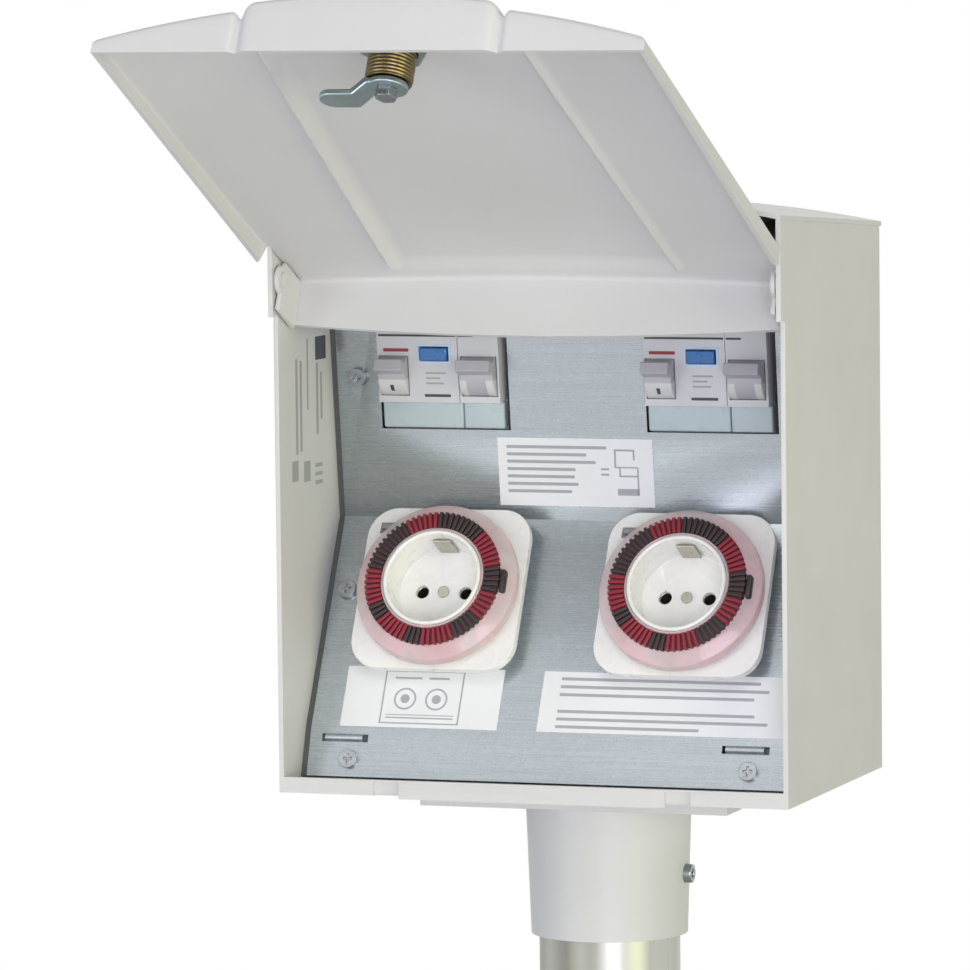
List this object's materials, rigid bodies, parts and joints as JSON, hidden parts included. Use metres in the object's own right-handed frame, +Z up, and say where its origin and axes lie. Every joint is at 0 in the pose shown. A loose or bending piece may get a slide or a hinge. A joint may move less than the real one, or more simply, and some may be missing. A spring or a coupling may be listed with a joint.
{
  "type": "garden socket post",
  "caption": "Outdoor socket post: a sheet metal cabinet with a lift-up curved door on a tube, holding breakers and socket outlets with timer dials on a bent mounting plate.",
  "frame": {"origin": "centre of the post tube's lower end", "axes": "+Z up along the post, the cabinet's open front faces -Y, +X to the right seen from the front"},
  "size_m": [0.223, 0.3365, 0.8367],
  "materials": {
    "post_steel": "satin tube",
    "cast_paint": "satin casting",
    "fixings": "zinc plated",
    "cabinet_paint": "fine textured powder coat",
    "door_paint": "fine textured powder coat",
    "galvanised": "galvanised sheet",
    "breaker_plastic": "satin moulding",
    "toggle_plastic": "satin moulding",
    "button_plastic": "gloss moulding",
    "timer_plastic": "gloss moulding",
    "dial_clear": "tinted clear moulding",
    "tappet_black": "satin moulding",
    "tappet_red": "satin moulding",
    "slide_plastic": "satin moulding",
    "contact_brass": "plain",
    "motor_can": "drawn can",
    "sticker": "bare stickers",
    "terminal_plastic": "moulding",
    "grommet_rubber": "soft",
    "lock_brass": "dull",
    "lock_zinc": "zinc plated"
  },
  "bodies": {
    "cabinet": {"post_tube": "post_steel", "collar_flange": "cast_paint", "collar_sleeve": "cast_paint", "collar_bolts": "fixings", "collar_set_screw": "fixings", "cabinet_body": "cabinet_paint", "back_panel": "cabinet_paint", "roof": "cabinet_paint", "hinge_pins": "fixings", "plate_brackets": "galvanised", "mounting_plate": "galvanised", "plate_screws": "fixings", "din_rail": "fixings", "rcd_left": "breaker_plastic", "rcd_right": "breaker_plastic", "mcb_left": "breaker_plastic", "mcb_right": "breaker_plastic", "timer_base_left": "timer_plastic", "timer_base_right": "timer_plastic", "timer_housing_left": "timer_plastic", "timer_housing_right": "timer_plastic", "timer_motor_left": "motor_can", "timer_motor_right": "motor_can", "socket_cup_left": "timer_plastic", "socket_cup_right": "timer_plastic", "socket_contacts_left": "contact_brass", "socket_contacts_right": "contact_brass", "plate_stickers": "sticker", "terminal_block": "terminal_plastic", "earth_stud": "contact_brass", "cable_grommet": "grommet_rubber"},
    "door": {"door_panel": "door_paint", "door_strip": "door_paint", "door_ear_left": "door_paint", "door_ear_right": "door_paint", "lock_body": "lock_brass", "lock_nut": "lock_zinc"},
    "lock": {"lock_plug": "lock_zinc", "lock_cam": "lock_zinc", "cam_screw": "fixings"},
    "dial_left": {"dial_left": "dial_clear", "black_tappets_left": "tappet_black", "red_tappets_left": "tappet_red"},
    "override_left": {"override_slide_left": "slide_plastic"},
    "toggle_rcd_left": {"toggle_rcd_left": "toggle_plastic"},
    "toggle_mcb_left": {"toggle_mcb_left": "toggle_plastic"},
    "test_button_left": {"test_button_left": "button_plastic"},
    "dial_right": {"dial_right": "dial_clear", "black_tappets_right": "tappet_black", "red_tappets_right": "tappet_red"},
    "override_right": {"override_slide_right": "slide_plastic"},
    "toggle_rcd_right": {"toggle_rcd_right": "toggle_plastic"},
    "toggle_mcb_right": {"toggle_mcb_right": "toggle_plastic"},
    "test_button_right": {"test_button_right": "button_plastic"}
  },
  "joints": [
    {"name": "door_hinge", "type": "hinge", "parent": "cabinet", "child": "door", "pos_m": [0, -0.104, 0.717], "axis": [1, 0, 0], "range_deg": [-4, 117]},
    {"name": "lock_turn", "type": "hinge", "parent": "door", "child": "lock", "pos_m": [0, -0.26705, 0.80008], "axis": [0, 0.454, 0.891], "range_deg": [0, 90]},
    {"name": "dial_left_turn", "type": "hinge", "parent": "cabinet", "child": "dial_left", "pos_m": [-0.05325, -0.05131, 0.58118], "axis": [0, -0.887, 0.4617], "continuous": true},
    {"name": "override_left_slide", "type": "slide", "parent": "cabinet", "child": "override_left", "axis": [0, -0.4617, -0.887], "range_m": [0, 0.0015]},
    {"name": "toggle_rcd_left_throw", "type": "hinge", "parent": "cabinet", "child": "toggle_rcd_left", "pos_m": [-0.078, -0.041, 0.67463], "axis": [1, 0, 0], "range_deg": [0, 50]},
    {"name": "toggle_mcb_left_throw", "type": "hinge", "parent": "cabinet", "child": "toggle_mcb_left", "pos_m": [-0.0405, -0.041, 0.67463], "axis": [1, 0, 0], "range_deg": [0, 50]},
    {"name": "test_button_left_press", "type": "slide", "parent": "cabinet", "child": "test_button_left", "axis": [0, 0.9925, 0.1219], "range_m": [0, 0.0012], "stiffness_N_per_m": 300},
    {"name": "dial_right_turn", "type": "hinge", "parent": "cabinet", "child": "dial_right", "pos_m": [0.05325, -0.05131, 0.58118], "axis": [0, -0.887, 0.4617], "continuous": true},
    {"name": "override_right_slide", "type": "slide", "parent": "cabinet", "child": "override_right", "axis": [0, -0.4617, -0.887], "range_m": [0, 0.0015]},
    {"name": "toggle_rcd_right_throw", "type": "hinge", "parent": "cabinet", "child": "toggle_rcd_right", "pos_m": [0.039, -0.041, 0.67463], "axis": [1, 0, 0], "range_deg": [0, 50]},
    {"name": "toggle_mcb_right_throw", "type": "hinge", "parent": "cabinet", "child": "toggle_mcb_right", "pos_m": [0.0765, -0.041, 0.67463], "axis": [1, 0, 0], "range_deg": [0, 50]},
    {"name": "test_button_right_press", "type": "slide", "parent": "cabinet", "child": "test_button_right", "axis": [0, 0.9925, 0.1219], "range_m": [0, 0.0012], "stiffness_N_per_m": 300}
  ]
}
